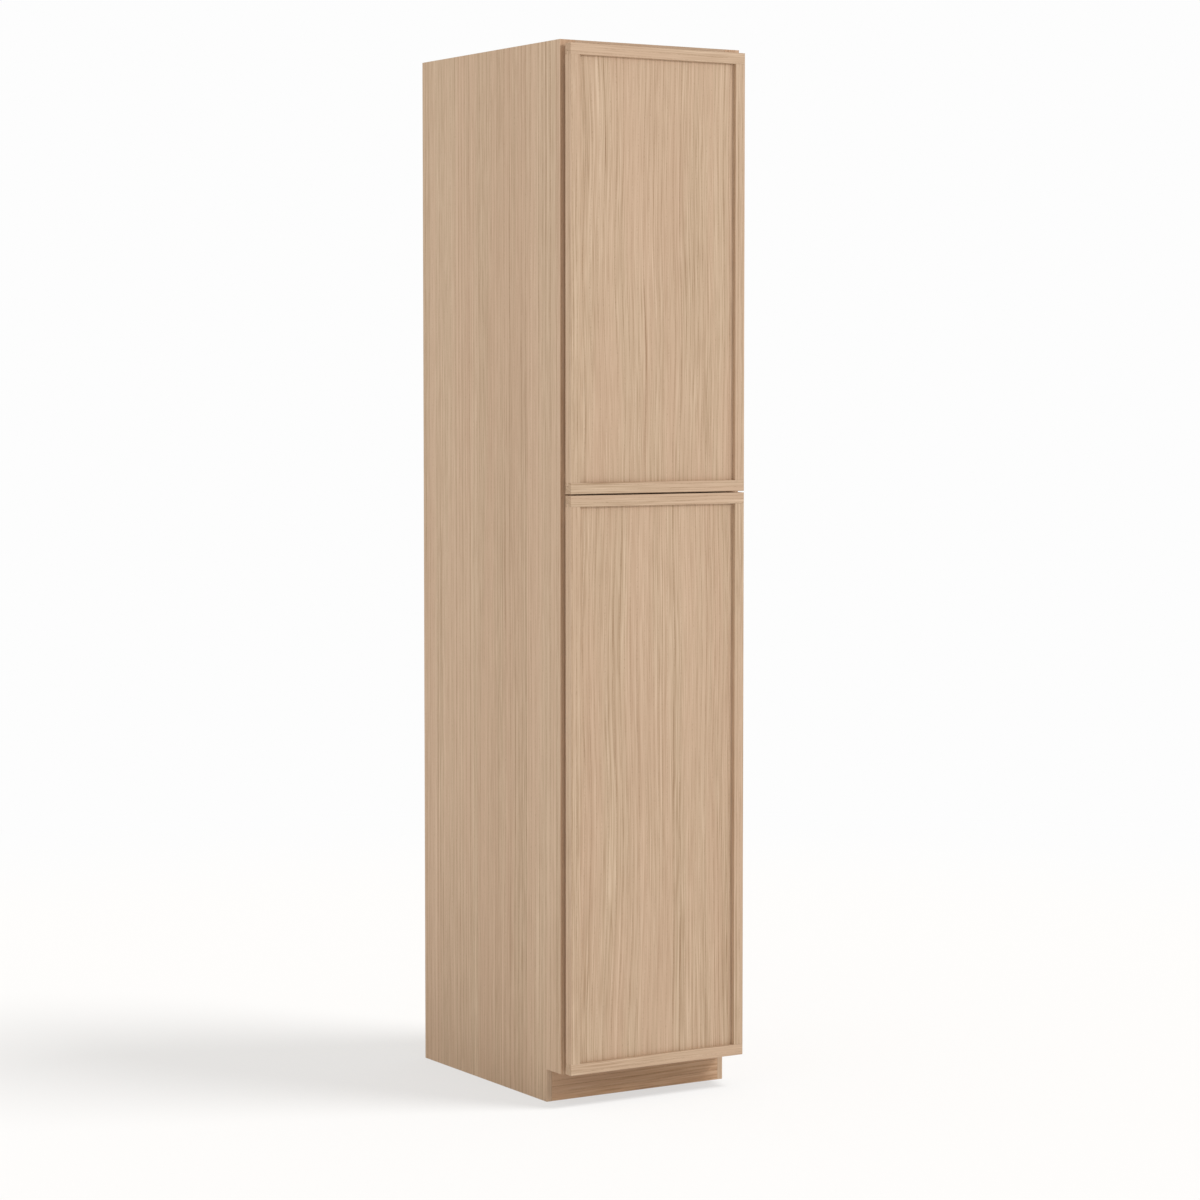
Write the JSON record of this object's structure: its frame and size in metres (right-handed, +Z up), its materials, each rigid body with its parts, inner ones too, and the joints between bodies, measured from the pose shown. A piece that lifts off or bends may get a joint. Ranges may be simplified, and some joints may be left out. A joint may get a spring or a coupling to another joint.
{
  "type": "broom cupboard",
  "caption": "Tall narrow oak broom cupboard on a recessed toe base, with slim-framed doors stacked one above the other, a tall lower bay and shelved upper bays.",
  "frame": {"origin": "on the floor, in the middle of the overall width and depth", "axes": "+Z up, front of the doors towards -Y, +X to the right as seen from the front"},
  "size_m": [0.4572, 0.6426, 2.286],
  "materials": {
    "oak_veneer_ply": "matt clear lacquer",
    "oak_veneer_panel": "matt clear lacquer",
    "solid_oak": "matt clear lacquer",
    "maple_ply": "clear lacquer",
    "plain_softwood": "planed, bare",
    "nickel_steel": "nickel plated",
    "soft_bumper": "matt"
  },
  "bodies": {
    "cabinet": {"side_panel_left": "oak_veneer_ply", "side_panel_right": "oak_veneer_ply", "top_panel": "maple_ply", "floor_panel": "maple_ply", "fixed_shelf": "maple_ply", "back_panel": "maple_ply", "hanging_rail_top": "plain_softwood", "hanging_rail_middle": "plain_softwood", "foot_rail_back": "plain_softwood", "toe_kick_board": "solid_oak", "toe_kick_blocks": "plain_softwood", "frame_stile_left": "solid_oak", "frame_stile_right": "solid_oak", "frame_rail_top": "solid_oak", "frame_rail_middle": "solid_oak", "frame_rail_bottom": "solid_oak", "adjustable_shelf_lower": "maple_ply", "adjustable_shelf_upper": "maple_ply", "shelf_pins": "nickel_steel", "upper_hinge_arm_top": "nickel_steel", "upper_hinge_arm_bottom": "nickel_steel", "lower_hinge_arm_top": "nickel_steel", "lower_hinge_arm_middle": "nickel_steel", "lower_hinge_arm_bottom": "nickel_steel", "hinge_arm_screws": "nickel_steel"},
    "upper_door": {"upper_door_rail_top": "solid_oak", "upper_door_rail_bottom": "solid_oak", "upper_door_stile_left": "solid_oak", "upper_door_stile_right": "solid_oak", "upper_door_panel": "oak_veneer_panel", "upper_hinge_cup_top": "nickel_steel", "upper_hinge_cup_bottom": "nickel_steel", "upper_hinge_pins": "nickel_steel", "upper_hinge_springs": "nickel_steel", "upper_cup_screws": "nickel_steel", "upper_door_bumpers": "soft_bumper"},
    "lower_door": {"lower_door_rail_top": "solid_oak", "lower_door_rail_bottom": "solid_oak", "lower_door_stile_left": "solid_oak", "lower_door_stile_right": "solid_oak", "lower_door_panel": "oak_veneer_panel", "lower_hinge_cup_top": "nickel_steel", "lower_hinge_cup_middle": "nickel_steel", "lower_hinge_cup_bottom": "nickel_steel", "lower_hinge_pins": "nickel_steel", "lower_hinge_springs": "nickel_steel", "lower_cup_screws": "nickel_steel", "lower_door_bumpers": "soft_bumper"}
  },
  "joints": [
    {"name": "upper_door_hinge", "type": "hinge", "parent": "cabinet", "child": "upper_door", "pos_m": [0.21425, -0.3062, 1.7994], "axis": [0, 0, 1], "range_deg": [0, 100]},
    {"name": "lower_door_hinge", "type": "hinge", "parent": "cabinet", "child": "lower_door", "pos_m": [0.21425, -0.3062, 0.69555], "axis": [0, 0, 1], "range_deg": [0, 100]}
  ]
}
